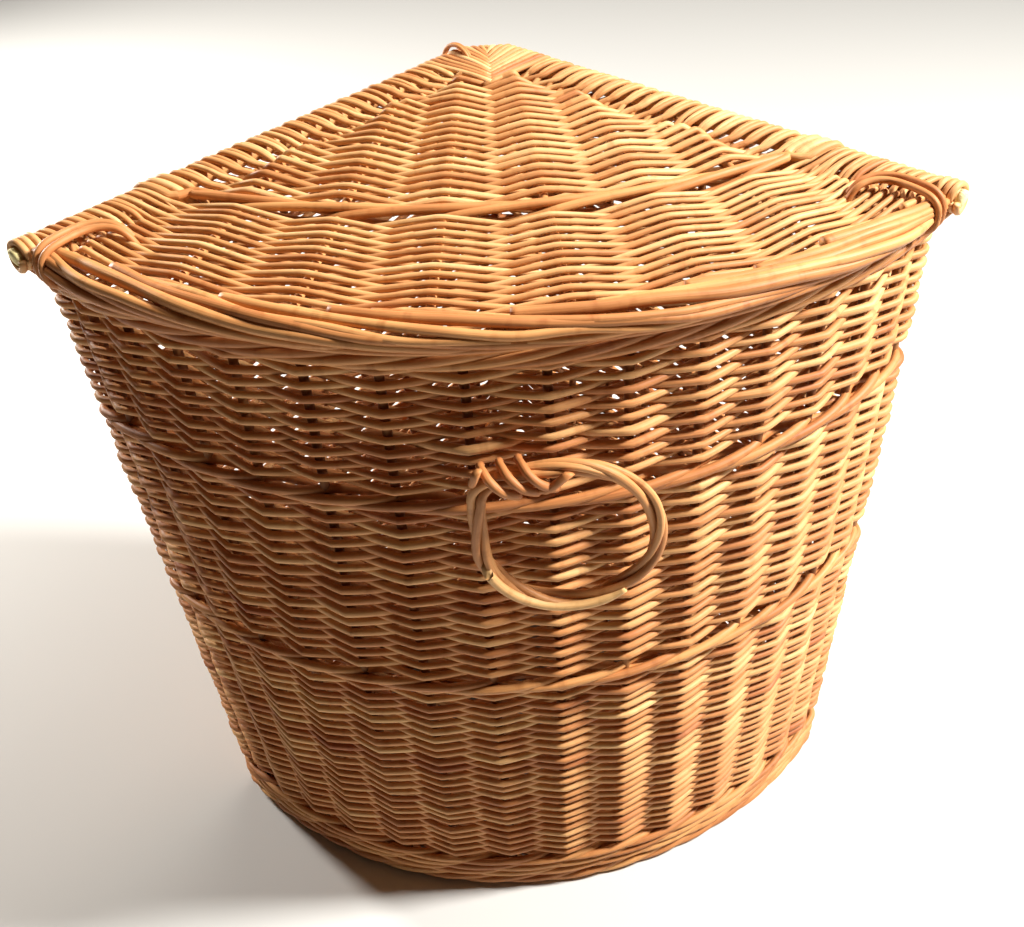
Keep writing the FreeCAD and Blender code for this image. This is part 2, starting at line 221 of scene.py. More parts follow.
def new_start():
    """A random start for a rod's grain."""
    return RNG.uniform(0, GRAIN_LENGTH)


def varied(size, share):
    """A size that differs from rod to rod by about this share of it."""
    return size * (1 + RNG.normal(0, share))


# ---------------------------------------------------------------- plan of the body

def crowded(share):
    """Where along the front an upright stands, both from -1 to 1: they crowd towards the tips."""
    return share * (1 + CROWDING * (1 - share * share))


def wall_path(upright, z, offset):
    """Points and outward normals of the wall, where upright is a number round the basket and offset
    is measured outwards from the uprights' middle."""
    upright = np.mod(np.asarray(upright, float), ROUND)
    z = np.broadcast_to(np.asarray(z, float), upright.shape)
    share = z / BODY_TOP
    back, half, bulge = (a + (b - a) * share for a, b in zip(PLAN_LOW, PLAN_HIGH))
    bulge = bulge + BELLY * 4 * share * (1 - share)
    full = (half * half + bulge * bulge) / (2 * bulge)
    centre_y = CORNER_Y - back - half - bulge + full
    radius = full - WALL / 2
    corner_y = CORNER_Y - back - WALL / ROOT2
    depth = corner_y - centre_y
    tip_x = (depth + np.sqrt(2 * radius * radius - depth * depth)) / 2
    tip_turn = np.arcsin(tip_x / radius)

    left = upright <= LEFT_TIP
    right = upright >= RIGHT_TIP
    side = np.where(left, -1.0, 1.0)
    run = np.where(left, upright / LEFT_TIP, (ROUND - upright) / (ROUND - RIGHT_TIP)) * tip_x * ROOT2
    front_share = crowded(np.clip((upright - LEFT_TIP) / (RIGHT_TIP - LEFT_TIP), 0, 1) * 2 - 1)
    turn = front_share * tip_turn
    on_side = left | right
    x = np.where(on_side, side * run / ROOT2, radius * np.sin(turn))
    y = np.where(on_side, corner_y - run / ROOT2, centre_y - radius * np.cos(turn))
    side_normal = np.where(left, 0.75 * math.pi, 2.25 * math.pi)
    normal = np.where(on_side, side_normal, 1.5 * math.pi + turn)

    # Rounded tips and back corner: gap is how far along the wall from the sharp corner a point is
    for corner, corner_r in ((-1, TIP_BEND), (1, TIP_BEND), (0, BACK_BEND)):
        if corner == 0:
            before, after = np.full_like(z, 2.25 * math.pi), np.full_like(z, 2.75 * math.pi)
            ax, ay = np.zeros_like(tip_x), corner_y
            gap = np.where(upright > ROUND / 2, -run, run)
            near = on_side
        else:
            ax, ay = corner * tip_x, corner_y - tip_x
            gap_side = tip_x * ROOT2 - run
            gap_front = radius * (tip_turn - corner * turn)
            is_here = (left if corner < 0 else right)
            gap = np.where(is_here, gap_side, gap_front)
            gap = np.where(is_here == (corner < 0), -gap, gap)
            near = is_here | ~on_side
            if corner < 0:
                before, after = np.full_like(z, 0.75 * math.pi), 1.5 * math.pi - tip_turn
            else:
                before, after = 1.5 * math.pi + tip_turn, np.full_like(z, 2.25 * math.pi)
        bend = after - before
        trim = corner_r * np.tan(bend / 2)
        inside = near & (np.abs(gap) < trim)
        middle = (before + after) / 2
        reach = corner_r / np.cos(bend / 2)
        cx = ax - reach * np.cos(middle)
        cy = ay - reach * np.sin(middle)
        angle = before + bend * (np.clip(gap / trim, -1, 1) + 1) / 2
        x = np.where(inside, cx + corner_r * np.cos(angle), x)
        y = np.where(inside, cy + corner_r * np.sin(angle), y)
        normal = np.where(inside, angle, normal)
    nx, ny = np.cos(normal), np.sin(normal)
    points = np.stack([x + nx * offset, y + ny * offset, z], axis=-1)
    return points, np.stack([nx, ny, np.zeros_like(nx)], axis=-1)


def zigzag(phase, corner=0.85):
    """Runs from 1 at even numbers to -1 at odd ones, partly a cosine and partly straight."""
    fold = np.abs(np.mod(phase, 2.0) - 1.0) * 2 - 1
    return (1 - corner) * np.cos(phase * math.pi) + corner * fold


# ---------------------------------------------------------------- woven walls

def panel_of(upright):
    """The wall that a number round the basket is on."""
    place = upright % ROUND
    if place < LEFT_TIP:
        return "left"
    return "front" if place < RIGHT_TIP else "right"


ROD_SPANS = (17, 30)     # a weaver's length, in uprights
TUCK = 0.4               # share of a gap between uprights over which a weaver's end goes inside
TUCK_DEPTH = 8.0


def weave_walls(name, low, high, pitch, radius):
    """One band of plain weave: rods laid in a rising spiral, before one upright and behind the next."""
    panels = {panel: Rods() for panel in ("left", "front", "right")}
    rounds = (high - low) / pitch
    last = int(rounds * ROUND)
    lift = wobble(np.arange(0, last + ROUND + 40, 1.0), 2.0, 0.6)
    at = 0
    while at < last:
        length = int(RNG.integers(*ROD_SPANS)) // 2 * 2
        begin, end = at - TUCK, min(at + length, last) + TUCK
        at = at + length
        steps = np.arange(math.ceil(begin * STEPS), math.floor(end * STEPS) + 1) / STEPS
        share = (steps - begin) / (end - begin)
        z = low + pitch * (0.5 + steps / ROUND)
        z = z + np.interp(steps, np.arange(len(lift)), lift)
        thick = varied(radius, 0.065) * (1.08 - 0.2 * share)
        # a rod starts and ends inside the basket, so even numbers are inside
        wave = -zigzag(steps)
        place = np.round(steps) % ROUND
        at_post = np.isin(place, POSTS) & (np.abs(steps - np.round(steps)) < 0.5)
        round_post = np.where(wave > 0, POST_R + thick * 0.9, STAKE_R + thick * 0.7)
        reach = np.where(at_post, round_post, STAKE_R + thick)
        tucked = np.clip(TUCK - (steps - begin), 0, TUCK) + np.clip(TUCK - (end - steps), 0, TUCK)
        offset = wave * reach - tucked * TUCK_DEPTH + wobble(steps, 1.5, 0.35)
        path, _ = wall_path(steps, z, offset)
        tone = new_tone()
        # the rod is cut where it passes a post, so that each wall is a piece of its own
        cut = [0]
        for i in range(1, len(steps) - 1):
            if steps[i] == int(steps[i]) and int(steps[i]) % ROUND in POSTS:
                cut.append(i)
        cut.append(len(steps) - 1)
        along = np.concatenate([[0.0], np.cumsum(np.linalg.norm(np.diff(path, axis=0), axis=1))])
        offset_along = new_start()
        for first, stop in zip(cut, cut[1:]):
            if stop - first < 1:
                continue
            panel = panel_of((steps[first] + steps[stop]) / 2)
            panels[panel].add(path[first:stop + 1], thick[first:stop + 1], tone, offset_along + along[first],
                              (0, 0, 1), (first == 0, stop == len(steps) - 1))
    for panel, rods in panels.items():
        node = f"{panel}_{name}_weave"
        dress(rods.make(f"woven_{node}", WEAVER), "basket", "willow_weaver", node)


def dress(piece, body, slot, *nodes):
    """Says what body a piece rides on and hides the CAD nodes it stands for; slot, the finish's slot, is not
    used.
    """
    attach(piece, body)
    if nodes:
        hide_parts(*nodes)


WALE_RODS = 3            # a wale rod passes before this many uprights less one, and behind one


def twisted_wale(rods, z, radius, spread, first=0.0):
    """A round of waling, in which each rod climbs over the others on its way past the uprights."""
    for j in range(WALE_RODS):
        steps = np.arange(0, ROUND * STEPS + 1) / STEPS
        phase = np.mod(steps - j - first, WALE_RODS) / WALE_RODS
        stretch = (WALE_RODS - 1.0) / WALE_RODS
        outward = np.where(phase < stretch, np.sin(np.minimum(phase / stretch, 1) * math.pi) ** 0.6,
                           -np.sin((phase - stretch) / (1 - stretch) * math.pi))
        climb = np.where(phase < stretch, phase / stretch * 2 - 1,
                         1 - (phase - stretch) / (1 - stretch) * 2)
        height = z + climb * spread + wobble(steps, 3.0, 0.4)
        path, _ = wall_path(steps, height, outward * (STAKE_R + radius))
        rods.add(rounded(path, 1), varied(radius, 0.05), new_tone(), new_start(), (0, 0, 1), (False, False))


def twisted_border(rods, z, wide, high, radius, strands, period):
    """A rolled border: strands that wind round each other along the wall, once in each period."""
    for j in range(strands):
        steps = np.arange(0, ROUND * STEPS + 1) / STEPS
        turn = 2 * math.pi * (steps / period + j / strands)
        path, _ = wall_path(steps, z + np.sin(turn) * high, np.cos(turn) * wide)
        rods.add(path, varied(radius, 0.05), new_tone(), new_start(), (0, 0, 1), (False, False))


def build_bands():
    """The wales, and the foot and top borders."""
    bottom = Rods()
    third = (BOTTOM_WALE[1] - BOTTOM_WALE[0]) / 3
    for i in range(3):
        twisted_wale(bottom, BOTTOM_WALE[0] + third * (i + 0.4), radius=3.0, spread=2.6, first=1.3 * i)
    dress(bottom.make("bottom_wale_rods", WALE), "basket", "willow_wale", "bottom_wale")
    for name, (low, high) in (("lower_wale", LOWER_WALE), ("upper_wale", UPPER_WALE)):
        rods = Rods()
        twisted_wale(rods, (low + high) / 2, WALE_R, spread=3.6)
        dress(rods.make(f"{name}_rods", WALE), "basket", "willow_wale", name)
    foot = Rods()
    twisted_border(foot, sum(FOOT) / 2, wide=6.0, high=4.6, radius=3.3, strands=5, period=ROUND / 8)
    dress(foot.make("foot_border_rods", WALE), "basket", "willow_wale", "foot_border")
    top = Rods()
    twisted_border(top, sum(TOP_BORDER) / 2, wide=6.5, high=5.6, radius=3.4, strands=6, period=ROUND / 6)
    dress(top.make("top_border_rods", WALE), "basket", "willow_wale", "top_border")


def upright_path(number, low, high):
    """A slightly crooked line up the wall."""
    z = np.linspace(low, high, 22)
    path, _ = wall_path(np.full_like(z, number), z, 0.0)
    path[:, 0] += wobble(z, 60.0, 0.6)
    path[:, 1] += wobble(z, 60.0, 0.4)
    return path


def build_uprights():
    """Stakes and corner posts, thickest at the foot."""
    groups = {
        "left_stakes": range(1, LEFT_TIP),
        "front_stakes": range(LEFT_TIP + 1, RIGHT_TIP),
        "right_stakes": range(RIGHT_TIP + 1, ROUND),
        "left_corner_post": [LEFT_TIP],
        "right_corner_post": [RIGHT_TIP],
        "back_corner_post": [0],
    }
    for node, numbers in groups.items():
        rods = Rods()
        for number in numbers:
            radius = POST_R if node.endswith("post") else STAKE_R
            path = upright_path(number, FOOT[0] + 5, TOP_BORDER[1] - 5)
            rods.add(path, np.linspace(radius * 1.05, radius * 0.9, len(path)), new_tone(),
                     new_start(), (0, 1, 0))
        # their skin is darkened: painted shade where they show between the weavers
        dress(rods.make(f"{node}_rods", STAKE_PAINTED_SHADE), "basket", "willow_rod", node)


def build_base():
    """Sticks from front to back, and weavers across them."""
    sticks, weave = Rods(), Rods()
    sticks_each_side, step, stick_r = 5, 42.0, 4.5
    radius, pitch = 3.0, 6.9
    grid = np.linspace(0, ROUND, ROUND * 8 + 1)
    outline, _ = wall_path(grid, BASE_Z, -WALL / 2)
    for i in range(-sticks_each_side, sticks_each_side + 1):
        x = step * i
        near = outline[np.abs(outline[:, 0] - x) < 12]
        front_y, back_y = near[:, 1].min() + 2, near[:, 1].max() - 2
        y = np.linspace(front_y, back_y, 16)
        path = np.stack([x + wobble(y, 90, 0.8), y, np.full_like(y, BASE_Z)], axis=-1)
        sticks.add(path, varied(stick_r, 0.05), new_tone(), new_start())
    low, high = outline[:, 1].min() + 6, outline[:, 1].max() - 14
    rows = int((high - low) / pitch)
    front = outline[(grid >= LEFT_TIP) & (grid <= RIGHT_TIP)]
    for row in range(rows):
        y = low + pitch * (row + 0.5)
        if y > front[0, 1]:
            # behind the tips, the two back walls stand at 45 degrees
            half = outline[0, 1] - y + 8
        else:
            half = abs(np.interp(y, front[:len(front) // 2, 1][::-1], front[:len(front) // 2, 0][::-1]))
        half = max(half - 3, 10)
        x = np.linspace(-half, half, max(int(half / step * STEPS * 2), 4))
        z = BASE_Z + zigzag(x / step + row) * (stick_r + radius - 0.6)
        path = np.stack([x, y + wobble(x, 60, 0.5), z], axis=-1)
        weave.add(path, varied(radius, 0.06), new_tone(), new_start())
    dress(sticks.make("base_stick_rods", STAKE_PAINTED_SHADE), "basket", "willow_rod", "base_sticks")
    dress(weave.make("base_woven_rods", WEAVER), "basket", "willow_weaver", "base_weave")


# ---------------------------------------------------------------- lid

RIB_STEP = math.radians(6.6)  # the ribs spread like a fan by this much each
LID_RIBS = 8
RIB_FAN_BEHIND = 300.0        # the fan's middle is this far behind the back corner
ROD_INSET = 12.0              # middle of a side rod, in from the straight side
MID_REACH = 308.0             # back corner to the wale across the lid
WALE_ROOM = 12.0              # middle of that wale to the nearest row
MID_RUN = 340.5               # where that wale meets the straight sides
BORDER_RUN = 428.7            # where the lid's border meets them
BORDER_IN = 21.0              # width of that border
FIRST_ROW = 74.0              # back corner to the nearest row of the lid's weave
CORNER_CUT = 25.0             # back corner to the flat end that replaces it
ROW_ENDS_IN = 41.0            # in from the sides, where a row's arc gives way to its turns
ENDS_LENGTH = 50              # points of a row's path over which its ends taper
BOW_R = (HALF_CHORD ** 2 + LID_BULGE ** 2) / (2 * LID_BULGE)
BOW_Y = CORNER_Y - HALF_CHORD - LID_BULGE + BOW_R
FAN_Y = CORNER_Y + RIB_FAN_BEHIND


def lid_place(run, inset, z, side):
    """A point by its distance along a straight side from the back corner, and in from it."""
    return np.array([side * (run - inset) / ROOT2, CORNER_Y - (run + inset) / ROOT2, z])


def row_ends(reach):
    """How far down the straight sides a row of the lid's weave meets them."""
    if reach <= MID_REACH:
        return reach * MID_RUN / MID_REACH
    border_reach = HALF_CHORD + LID_BULGE - BORDER_IN
    share = (reach - MID_REACH) / (border_reach - MID_REACH)
    return MID_RUN + share * (BORDER_RUN - MID_RUN)


def row_arc(reach, inset_from, samples):
    """Points of a row's arc, from the left to the right, stopping inset_from short of the sides."""
    half = row_ends(reach) / ROOT2
    sag = reach - half
    radius = (half * half + sag * sag) / (2 * sag)
    centre_y = CORNER_Y - reach + radius
    limit = math.asin(min(half / radius, 1.0))
    turn = np.linspace(-limit, limit, 400)
    x, y = radius * np.sin(turn), centre_y - radius * np.cos(turn)
    inset = (CORNER_Y - y - np.abs(x)) / ROOT2
    keep = inset >= inset_from
    x, y = x[keep], y[keep]
    if len(x) < 3:
        return None
    at = np.linspace(0, len(x) - 1, samples)
    index = np.arange(len(x))
    return np.interp(at, index, x), np.interp(at, index, y)


def rib_count_at(x, y):
    """Which rib a point of the lid is at, as a number that runs on between the ribs."""
    return np.arctan2(x, FAN_Y - y) / RIB_STEP + (LID_RIBS - 1) / 2


ROW_SLANT = 0.25        # a row drifts this much down the rod for each step in from it
END_TAPER = 0.78        # a weaver's thickness at its ends over its thickness in the weave
EDGE_FROM = 37.0        # in from a side, where a row becomes a turn round the side rod


def turn_round_rod(run, side, over, radius):
    """Points of a weaver's end round a side rod, from the weave outwards: over the rod and under it again
    when over is 1; when it is -1 under it, and back over it to lie on the weave."""
    reach = SIDE_ROD_R + END_TAPER * radius
    shape = [(33.0, 0.55), (25.0, 0.86), (16.0, 1.02), (ROD_INSET - 0.3 * reach, 1.0),
             (ROD_INSET - 0.74 * reach, 0.7), (ROD_INSET - reach, 0.1), (ROD_INSET - 0.9 * reach, -0.45),
             (ROD_INSET - 0.57 * reach, -0.84), (ROD_INSET + 1.0, -1.02), (20.0, -0.95)]
    if over < 0:
        shape = shape[:-3] + [(ROD_INSET - 0.5 * reach, -0.88), (ROD_INSET + 2.0, -1.02), (24.0, -0.88),
                              (32.0, -0.6), (39.0, 0.0), (44.0, 0.5)]
    drift = np.linspace(0.0, 4.6, len(shape))
    return [lid_place(run + d - ROW_SLANT * (inset - ROD_INSET), inset, AXIS_Z + over * rise * reach, side)
            for d, (inset, rise) in zip(drift, shape)]


def add_split(centre, edges, path, thick, tone):
    """Adds a row's path: the part over the weave to one set of tubes, the turns at its ends to two others."""
    inset = (CORNER_Y - path[:, 1] - np.abs(path[:, 0])) / ROOT2
    middle = len(path) // 2
    first = next((i for i in range(middle, -1, -1) if inset[i] < EDGE_FROM), 0)
    last = next((i for i in range(middle, len(path)) if inset[i] < EDGE_FROM), len(path) - 1)
    along = np.concatenate([[0.0], np.cumsum(np.linalg.norm(np.diff(path, axis=0), axis=1))])
    start = new_start()
    ahead = heading(path)
    for rods, begin, end, hint, caps in ((edges["left"], 0, first, (1, 1, 0.02), (True, False)),
                                         (centre, first, last, (0, 0, 1), (False, False)),
                                         (edges["right"], last, len(path) - 1, (-1, 1, 0.02), (False, True))):
        part = slice(begin, end + 1)
        if end > begin:
            rods.add(path[part], thick[part], tone, start + along[begin], hint, caps, ahead[part])


def lid_row(centre, edges, reach, number, radius):
    """One weaver across the lid and round both side rods."""
    run = row_ends(reach)
    spacing = max(int(run * ROOT2 / 5), 6)
    arc = row_arc(reach, ROW_ENDS_IN, spacing)
    if arc is None:
        return
    sign = 1.0 if number % 2 else -1.0
    x, y = arc
    count = rib_count_at(x, y)
    ribs = np.arange(LID_RIBS)
    first = max(int(math.ceil(count[0] - 0.25)), 0)
    last = min(int(math.floor(count[-1] + 0.25)), LID_RIBS - 1)
    if last < first:
        # next to the back corner a row crosses no rib, and goes as if over the two middle ones
        first, last = LID_RIBS // 2 - 1, LID_RIBS // 2
    # the side rods are the crossings before the first rib and after the last one
    crossing = np.interp(count, ribs[first:last + 1], ribs[first:last + 1].astype(float))
    if count[0] < first:
        low = count < first
        crossing[low] = first - (first - count[low]) / max(first - count[0], 1e-6) * 0.6
    if count[-1] > last:
        high = count > last
        crossing[high] = last + (count[high] - last) / max(count[-1] - last, 1e-6) * 0.6
    lift = sign * zigzag(crossing, 0.75) * (RIB_LIFT + radius)
    path = np.stack([x, y, AXIS_Z + lift + wobble(x, 50.0, 0.3)], axis=-1)
    left_over = sign * (1 if (first - 1) % 2 == 0 else -1)
    right_over = sign * (1 if (last + 1) % 2 == 0 else -1)
    left = turn_round_rod(run + RNG.normal(0, 0.4), -1, left_over, radius)
    right = turn_round_rod(run + RNG.normal(0, 0.4), 1, right_over, radius)
    whole = rounded(np.concatenate([np.array(left[::-1]), path, np.array(right)]), 2)
    share = np.linspace(0, 1, len(whole))
    thick = varied(radius, 0.05) * (1.07 - 0.14 * (share if number % 4 < 2 else 1 - share))
    index = np.arange(len(whole))
    thick = thick * np.interp(np.minimum(index, index[::-1]), [0, ENDS_LENGTH], [END_TAPER, 1.0])
    add_split(centre, edges, whole, thick, new_tone())


def build_lid_weave():
    """The rows behind the wale across the lid and before it, and all that is turned round the side rods."""
    rear_radius, rear_pitch = 2.5, 5.9
    front_radius, front_pitch = 2.15, 5.0
    edges = {"left": Rods(), "right": Rods()}
    rear = Rods()
    near_wale = MID_REACH - WALE_ROOM
    rows = int((near_wale - FIRST_ROW) / rear_pitch)
    for i in range(rows + 1):
        lid_row(rear, edges, near_wale - i * (near_wale - FIRST_ROW) / rows, i, rear_radius)
    dress(rear.make("lid_rear_woven_rods", LID_WEAVER_PAINTED_LIGHT), "lid", "willow_weaver", "lid_rear_weave")
    front = Rods()
    far = HALF_CHORD + LID_BULGE - BORDER_IN - 1
    rows = int((far - MID_REACH - WALE_ROOM) / front_pitch)
    for i in range(rows + 1):
        reach = MID_REACH + WALE_ROOM + i * (far - MID_REACH - WALE_ROOM) / rows
        lid_row(front, edges, reach, i, front_radius)
    dress(front.make("lid_front_woven_rods", LID_WEAVER_PAINTED_LIGHT), "lid", "willow_weaver", "lid_front_weave")
    build_lid_wale(edges)
    wrap_corner(edges)
    wrap_tips(edges)
    for side, rods in edges.items():
        dress(rods.make(f"{side}_edge_wrapping", LID_WEAVER_PAINTED_LIGHT), "lid", "willow_weaver", f"{side}_edge_wrap")


def build_lid_wale(edges):
    """Three rods across the lid, each over two ribs and under one."""
    rods = Rods()
    spread = 4.0
    for j in range(WALE_RODS):
        x, y = row_arc(MID_REACH, 38.0, 90)
        count = rib_count_at(x, y)
        phase = np.mod(count - j, 3.0) / 3.0
        up = np.where(phase < 2 / 3, np.sin(np.minimum(phase * 1.5, 1) * math.pi) ** 0.6,
                      -np.sin((phase * 3 - 2) * math.pi))
        climb = np.where(phase < 2 / 3, phase * 3 - 1, 1 - (phase * 3 - 2) * 2)
        tangent = np.gradient(np.stack([x, y], axis=-1), axis=0)
        tangent /= np.linalg.norm(tangent, axis=1)[:, None]
        x = x - tangent[:, 1] * climb * spread
        y = y + tangent[:, 0] * climb * spread
        path = np.stack([x, y, AXIS_Z + up * (RIB_R + WALE_R)], axis=-1)
        run = MID_RUN - 9 + 8.0 * j
        left = turn_round_rod(run, -1, 1, WALE_R)
        right = turn_round_rod(run, 1, 1, WALE_R)
        whole = rounded(np.concatenate([np.array(left[::-1]), path, np.array(right)]), 1)
        add_split(rods, edges, whole, np.full(len(whole), varied(WALE_R, 0.04)), new_tone())
    dress(rods.make("lid_mid_wale_rods", WALE), "lid", "willow_wale", "lid_mid_wale")


def build_lid_border():
    """The ribs' ends and extra rods, laid one over the next, each from the weave to the rim and under it."""
    rods = Rods()
    low, high = levels("lid_front_border")
    middle_z = (low + high) / 2
    limit = math.asin((HALF_CHORD - 8) / BOW_R)
    stretch, count, early = 0.74, 12, 8       # each rod's angle, how many start in the bow and before it
    rim_from, rim_turn, tip_angle = 122, 180, 0.16
    inner = BOW_R - BORDER_IN - 2
    for j in range(-early, count + 1):
        begin = -limit + (j + RNG.normal(0, 0.2)) * 2 * limit / count
        share = np.linspace(0, 1, 90)
        turn = begin + share * stretch
        # over the rim's outside in an arc, from its inner top edge to below it
        round_rim = np.radians(rim_from - rim_turn * share)
        gathered = 1 - 0.4 * np.clip((np.abs(turn) - limit + tip_angle) / tip_angle, 0, 1)
        r = inner + 9.0 + 11.5 * np.cos(round_rim) * gathered + wobble(share, 0.14, 0.9)
        z = middle_z + 8.4 * np.sin(round_rim) * gathered + wobble(share, 0.14, 0.8)
        x, y = r * np.sin(turn), BOW_Y - r * np.cos(turn)
        keep = ((CORNER_Y - y - np.abs(x)) / ROOT2 > 24.0) & (np.abs(turn) < limit)
        if keep.sum() < 8:
            continue
        path = np.stack([x, y, z], axis=-1)[keep]
        thick = varied((np.linspace(3.9, 3.0, 90) * (0.5 + 0.5 * gathered))[keep], 0.1)
        rods.add(path, thick, new_tone(), new_start())
    # two more rods run underneath, against the weave
    for j in range(2):
        turn = np.linspace(-limit, limit, 160)
        twist = turn / 0.16 + j * math.pi
        r = BOW_R - 8.0 + 1.8 * np.cos(twist)
        z = np.full_like(turn, low + 4.0) + 1.9 * np.sin(twist)
        path = np.stack([r * np.sin(turn), BOW_Y - r * np.cos(turn), z], axis=-1)
        rods.add(path, 2.7, new_tone(), new_start())
    dress(rods.make("lid_front_border_rods", WALE), "lid", "willow_wale", "lid_front_border")


def corner_outline(length, side):
    """A point of the lid's outline, this far along it from the middle of the cut-off back corner."""
    if length <= CORNER_CUT:
        return np.array([side * length, CORNER_Y - CORNER_CUT])
    run = CORNER_CUT * ROOT2 + length - CORNER_CUT
    return np.array([side * run / ROOT2, CORNER_Y - run / ROOT2])


CORNER_DRAWN_IN = 2.8   # the corner's strands turn this far in, to clear the border as the lid opens
CORNER_STRANDS = 11     # on each side


def wrap_corner(edges):
    """Strands over the back corner, side by side: those of both sides meet along the middle."""
    reach = SIDE_ROD_R + 1.9
    for name, side, shift in (("left", -1, 0.0), ("right", 1, 3.0)):
        for number in range(CORNER_STRANDS):
            length = 3.0 + shift + 6.4 * number
            if side < 0 and 37.5 < length < 44.0:
                # keeps this strand close beside the tie
                length -= 3.0
            outer = corner_outline(length, side)
            inner = np.array([-side * 3.0, CORNER_Y - CORNER_CUT - 8.0 - shift * 0.8 - 6.0 * number])
            out = (outer - inner) / np.linalg.norm(outer - inner)
            span = np.linalg.norm(outer - inner) - CORNER_DRAWN_IN
            lower = 0.0 if side < 0 else 1.4
            shape = [(0.0, 3.0 - lower), (span * 0.3, 6.0 - lower),
                     (max(span - 15, span * 0.5), 0.86 * reach), (span - 7.0, reach),
                     (span - 2.5, 0.72 * reach), (span, 0.1 * reach), (span - 1.5, -0.6 * reach),
                     (span - 7.0, -reach), (max(span - 16.0, 2.0), -0.95 * reach)]
            points = [(*(inner + out * along), AXIS_Z + rise) for along, rise in shape]
            edges[name].add(rounded(points, 2), varied(2.4, 0.04), new_tone(), new_start(),
                            (-out[1], out[0], 0.01))


def wrap_tips(edges):
    """The last turns round each side rod, beyond the border, close to its cut end."""
    reach = SIDE_ROD_R + 2.4
    turn = np.linspace(0, 2 * math.pi, 25)
    for name, side in (("left", -1), ("right", 1)):
        for run in (433.5, 438.8, 443.6):
            points = [lid_place(run + 0.25 * k, ROD_INSET + reach * math.cos(a),
                                AXIS_Z + reach * math.sin(a), side) for k, a in enumerate(turn)]
            edges[name].add(points, 2.5, new_tone() + 0.15, new_start(), (-side, 1, 0.01))


def build_lid_rods():
    """The ribs, spread like a fan and ending under the border, and the two side rods with pale cut ends."""
    ribs = Rods()
    for i in range(LID_RIBS):
        turn = (i - (LID_RIBS - 1) / 2) * RIB_STEP
        start = (26.0 * ROOT2 + RIB_FAN_BEHIND) / (math.cos(turn) - abs(math.sin(turn)))
        # a rib ends where its line meets a circle in the middle of the border
        offset = FAN_Y - BOW_Y
        b = -offset * math.cos(turn)
        c = offset * offset - (BOW_R - BORDER_IN / 2) ** 2
        end = -b + math.sqrt(b * b - c)
        at = np.linspace(start, end, 20)
        path = np.stack([at * math.sin(turn) + wobble(at, 70, 0.5), FAN_Y - at * math.cos(turn),
                         np.full_like(at, AXIS_Z)], axis=-1)
        ribs.add(path, varied(RIB_R, 0.04), new_tone(), new_start())
    dress(ribs.make("lid_rib_rods", ROD), "lid", "willow_rod", "lid_ribs")
    for name, side in (("left", -1), ("right", 1)):
        rod = Rods()
        at = np.linspace(30.0, SIDE - 3, 30)
        path = np.array([lid_place(a, ROD_INSET, AXIS_Z, side) for a in at])
        rod.add(path, np.linspace(SIDE_ROD_R * 0.94, SIDE_ROD_R, len(at)), new_tone(), new_start())
        dress(rod.make(f"{name}_side_rod_bark", ROD), "lid", "willow_rod", f"{name}_side_rod")
        cut = Rods()
        face = [lid_place(SIDE - 3.5, ROD_INSET, AXIS_Z, side),
                lid_place(SIDE - 0.5, ROD_INSET, AXIS_Z - 0.3, side),
                lid_place(SIDE + 0.6, ROD_INSET, AXIS_Z - 0.5, side)]
        cut.add(face, [SIDE_ROD_R * 1.01, SIDE_ROD_R * 0.97, SIDE_ROD_R * 0.8], 0.8, new_start())
        dress(cut.make(f"{name}_side_rod_cut_end", CUT), "lid", "willow_rod")


def build_loops():
    """Two rods side by side out of the weave, in a bow over each tip, and down outside the rim."""
    low, _ = levels("left_loop")
    top = AXIS_Z + 13.0
    for name, side in (("left", -1), ("right", 1)):
        rods = Rods()
        for k, gap in enumerate((0.0, 5.0)):
            route = [
                (386 + 4 * k, 58 + gap, AXIS_Z - 3),
                (391 + 3 * k, 50 + 1.5 * gap, top - 3),
                (398 + 2 * k, 39 + 1.6 * gap, top),
                (411, 32 + 1.7 * gap, top + 0.5),
                (428, 33 + 1.7 * gap, top + 0.5),
                (438 + 2 * k, 33 + 1.9 * gap, top - 1),
                (444 + 2 * k, 33 + 2.0 * gap, top - 6),
                (446.5 + 1.5 * k, 34 + 2.0 * gap, AXIS_Z),
                (446 + k, 36 + 2.0 * gap, AXIS_Z - 8),
                (440, 40 + 1.6 * gap, low + 8),
            ]
            points = rounded([lid_place(*place, side) for place in route], 3)
            rods.add(points, 2.5, new_tone(), new_start(), (0.2, 0.3, 1))
        dress(rods.make(f"{name}_loop_rods", BINDING), "lid", "willow_binding", f"{name}_loop")


def build_tie():
    """Two turns of a thin rod about the left side rod's wrapping, near the back corner."""
    rods = Rods()
    points = []
    reach, steps_a_turn = 15.6, 12
    for k in range(2 * steps_a_turn + 1):
        angle = 2 * math.pi * k / steps_a_turn
        points.append(lid_place(43.5 + k * 0.18, ROD_INSET + reach * math.cos(angle),
                                AXIS_Z + reach * math.sin(angle), -1))
    rods.add(rounded(points, 1), 1.7, 0.6, 0, (-1, -1, 0))
    dress(rods.make("back_hinge_tie_rods", BINDING), "basket", "willow_binding", "back_hinge_tie")


# ---------------------------------------------------------------- handle

RING_R = 58.0         # to the ring's middle line
RING_STRAIGHT = 42.0  # its straight run through the turns that it hangs from
RING_CORNER_R = RING_R - RING_STRAIGHT
BUNDLE_R = 3.5        # from its middle line to the middle of a strand
swing = next(j for j in frame["joints"] if j["name"] == "handle_swing")
swing_at = [c / MM for c in swing["pos_m"]]
tilt = math.atan2(-swing["axis"][2], -swing["axis"][0])


def handle_place(run, rise, out=0.0):
    """A point of the handle by how far it is along the pivot line, up from it, and out from the wall."""
    return np.array([swing_at[0] + run * math.cos(tilt) - rise * math.sin(tilt), swing_at[1] - out,
                     swing_at[2] + run * math.sin(tilt) + rise * math.cos(tilt)])


